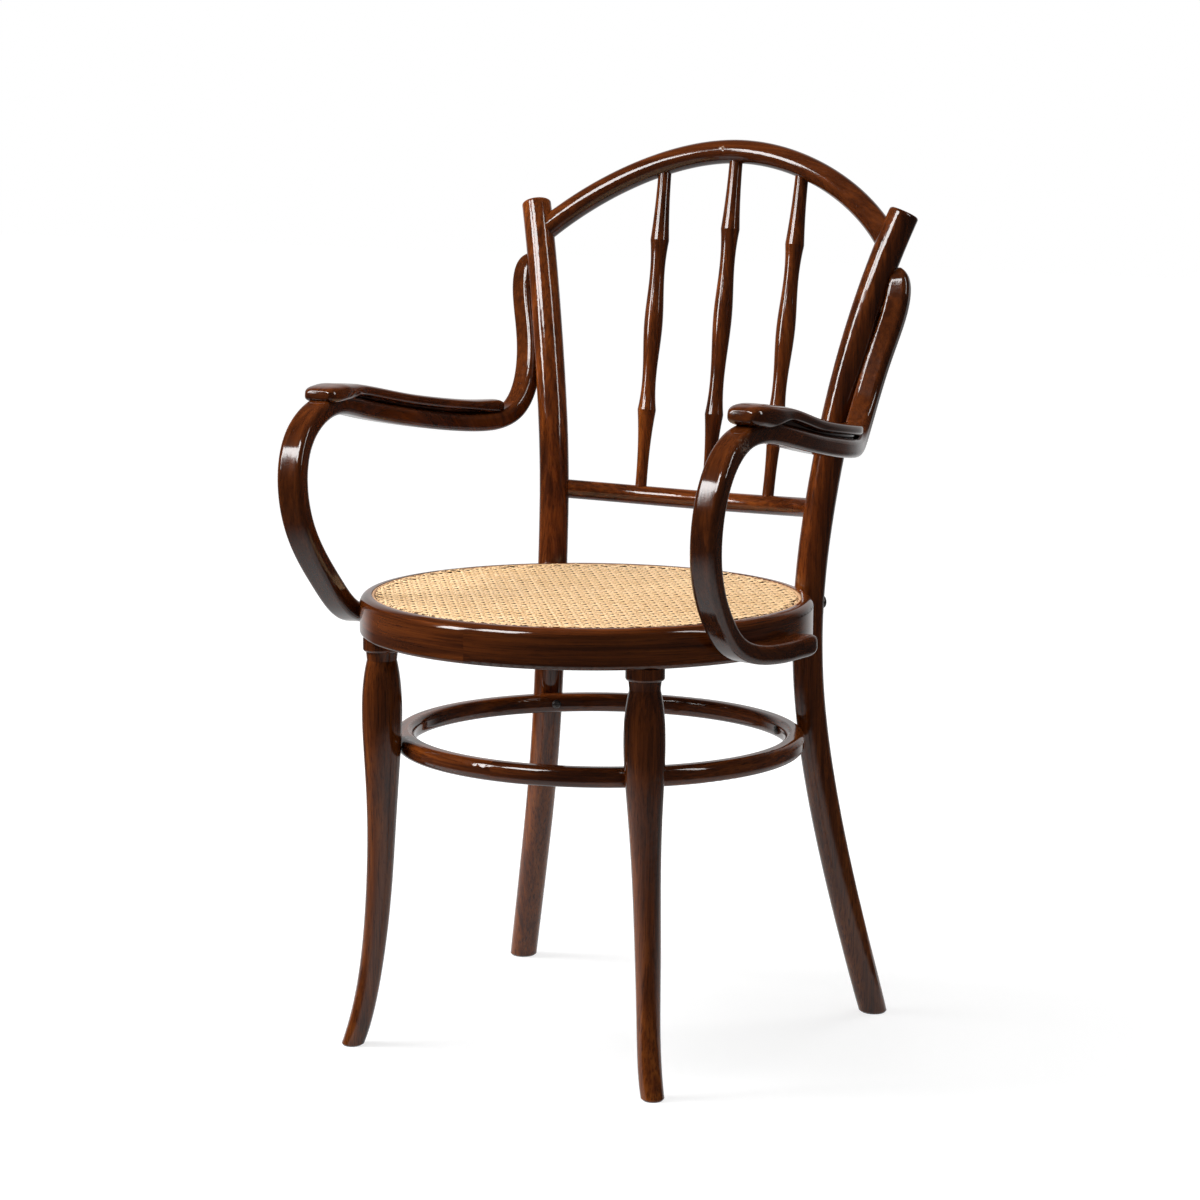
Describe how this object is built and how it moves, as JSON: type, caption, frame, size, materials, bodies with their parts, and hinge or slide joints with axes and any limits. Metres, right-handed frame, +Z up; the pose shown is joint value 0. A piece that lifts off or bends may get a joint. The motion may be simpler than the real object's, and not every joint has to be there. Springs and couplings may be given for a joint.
{
  "type": "spindle back armchair",
  "caption": "Bentwood dining armchair with turned spindles in an arched back, looped bent arms with separate pads, a round cane seat and a stretcher ring between its legs.",
  "frame": {"origin": "middle of the chair's footprint box, on the floor", "axes": "+Z up, the sitter faces -Y, +X to the sitter's left"},
  "size_m": [0.5348, 0.5528, 0.9177],
  "materials": {
    "stained_beech": "dark brown stain under gloss lacquer, grain along each piece",
    "cane_weave": "natural rattan cane woven in the standard six-way pattern, satin",
    "cane_reed": "stained reed, satin",
    "plain_beech": "bare beech, unseen",
    "dark_steel": "browned steel"
  },
  "bodies": {
    "root": {"seat_ring": "stained_beech", "stretcher_ring": "stained_beech", "crest_rail": "stained_beech", "lower_back_rail": "stained_beech", "spindle_left": "stained_beech", "spindle_centre": "stained_beech", "spindle_right": "stained_beech", "front_leg_left": "stained_beech", "front_leg_right": "stained_beech", "rear_post_left": "stained_beech", "rear_post_right": "stained_beech", "arm_left": "stained_beech", "arm_right": "stained_beech", "arm_pad_left": "stained_beech", "arm_pad_right": "stained_beech", "cane_panel": "cane_weave", "cane_edge": "cane_weave", "cane_spline": "cane_reed", "arm_post_dowels": "plain_beech", "stretcher_screws": "dark_steel", "arm_seat_screws": "dark_steel", "arm_pad_screws": "dark_steel", "seat_bolts": "dark_steel", "seat_bolt_washers": "dark_steel", "seat_bolt_nuts": "dark_steel"}
  },
  "joints": []
}
